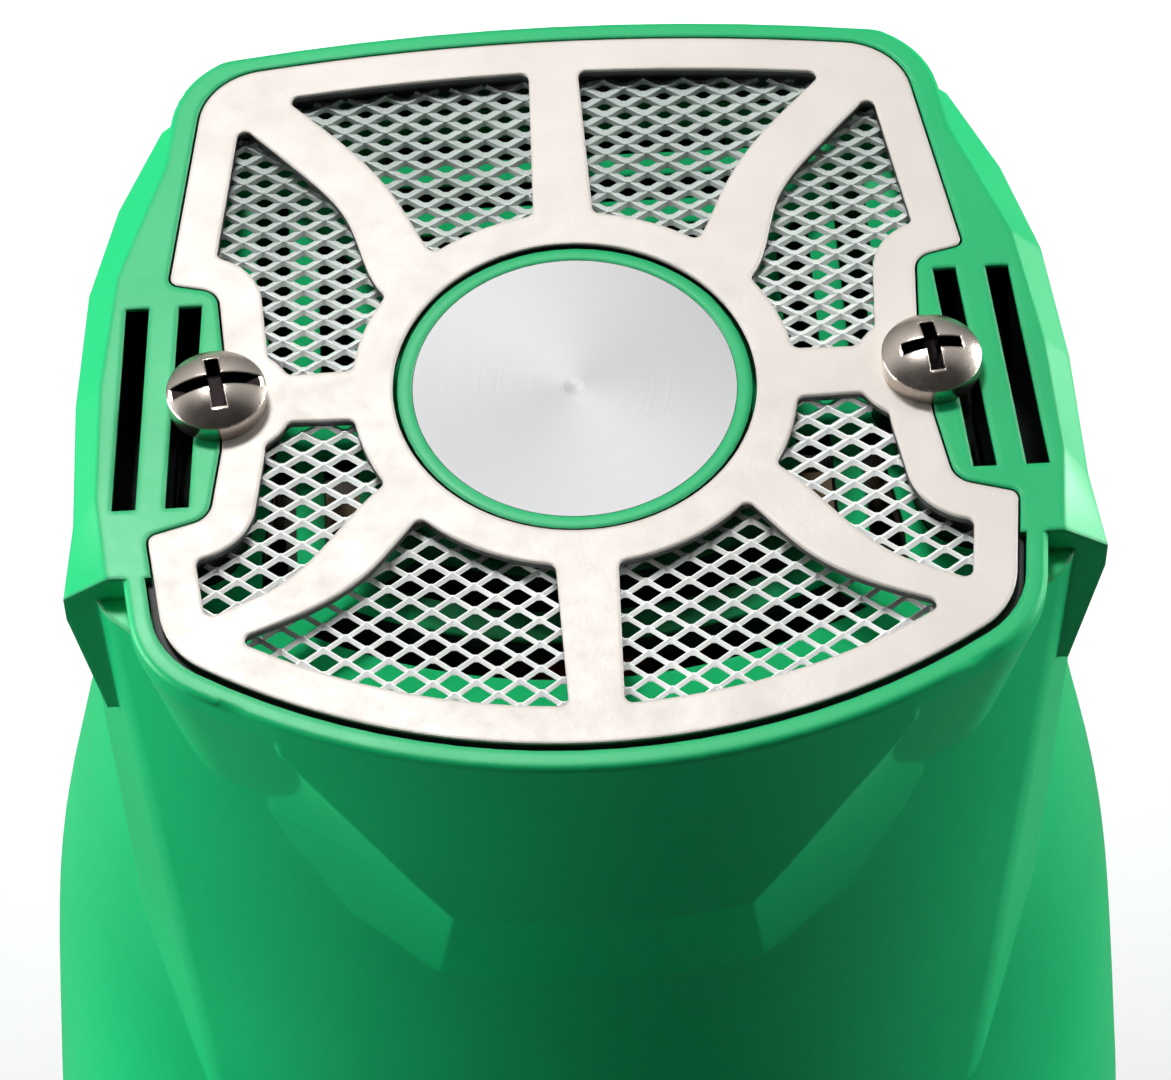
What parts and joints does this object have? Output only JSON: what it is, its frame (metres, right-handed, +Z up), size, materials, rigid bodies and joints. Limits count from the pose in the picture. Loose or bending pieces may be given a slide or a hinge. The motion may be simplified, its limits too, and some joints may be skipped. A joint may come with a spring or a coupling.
{
  "type": "detail sander",
  "caption": "Compact electric detail sander: a pointed orbiting pad under an upright motor body with a screened air intake on its flat top.",
  "frame": {"origin": "where the motor axis meets the working face of the abrasive sheet", "axes": "+Z up along the motor axis, -Y towards the pointed nose of the pad, +X to the right seen from the nose's side"},
  "size_m": [0.105, 0.1981, 0.1509],
  "materials": {
    "abrasive": "gritty",
    "badge_metal": "brushed",
    "black_housing": "satin",
    "board_green": "satin",
    "brass": "satin",
    "carbon": "matte",
    "cast_metal": "matte",
    "copper": "satin",
    "fan_plastic": "satin",
    "filter_paper": "matte",
    "foam_grey": "matte",
    "frame_metal": "satin",
    "green_housing": "satin",
    "hook_black": "matte",
    "insulation": "matte",
    "lamination": "matte",
    "mesh_metal": "matte",
    "rubber_black": "matte",
    "screw_steel": "bright",
    "steel": "satin",
    "switch_red": "gloss"
  },
  "bodies": {
    "body": {"badge_disc": "badge_metal", "base_housing": "black_housing", "bearing_bracket": "cast_metal", "bracket_screws": "steel", "brush_holder_left": "brass", "brush_holder_right": "brass", "brush_ring": "insulation", "carbon_brush_left": "carbon", "carbon_brush_right": "carbon", "control_pcb": "board_green", "cord_clamp": "insulation", "cord_gland": "rubber_black", "dial_yoke": "insulation", "dust_port": "black_housing", "dust_volute": "fan_plastic", "field_coils": "copper", "filter_frame": "frame_metal", "filter_mesh": "mesh_metal", "filter_screw_left": "screw_steel", "filter_screw_right": "screw_steel", "filter_seal": "rubber_black", "lower_bearing": "steel", "motor_housing": "green_housing", "pad_posts": "rubber_black", "stator_core": "lamination", "switch_body": "black_housing", "upper_bearing": "steel"},
    "rotor": {"rotor_shaft": "steel", "armature_core": "lamination", "armature_windings": "copper", "commutator": "copper", "cooling_fan": "fan_plastic", "dust_fan": "fan_plastic", "eccentric_hub": "cast_metal", "pad_screw": "steel"},
    "pad": {"pad_bearing": "steel", "pad_carrier": "black_housing", "pad_foam": "foam_grey", "hook_layer": "hook_black", "abrasive_sheet": "abrasive"},
    "dust_box": {"dust_box": "black_housing", "dust_box_lid": "green_housing", "dust_filter": "filter_paper"},
    "rocker": {"switch_rocker": "switch_red"},
    "dial": {"speed_dial": "black_housing"}
  },
  "joints": [
    {"name": "rotor_spin", "type": "hinge", "parent": "body", "child": "rotor", "pos_m": [0, 0, 0.08], "axis": [0, 0, 1], "continuous": true},
    {"name": "pad_orbit", "type": "hinge", "parent": "rotor", "child": "pad", "pos_m": [0.001, 0, 0.016], "axis": [0, 0, 1], "continuous": true},
    {"name": "box_pull", "type": "slide", "parent": "body", "child": "dust_box", "axis": [0, 1, 0], "range_m": [0, 0.06]},
    {"name": "switch_rock", "type": "hinge", "parent": "body", "child": "rocker", "pos_m": [0, 0.0388, 0.117], "axis": [1, 0, 0], "range_deg": [0, 16]},
    {"name": "dial_turn", "type": "hinge", "parent": "body", "child": "dial", "pos_m": [0, 0.0386, 0.096], "axis": [1, 0, 0], "range_deg": [0, 270]}
  ],
  "couplings": [
    {"joint": "pad_orbit", "follows": "rotor_spin", "ratio": -1}
  ]
}
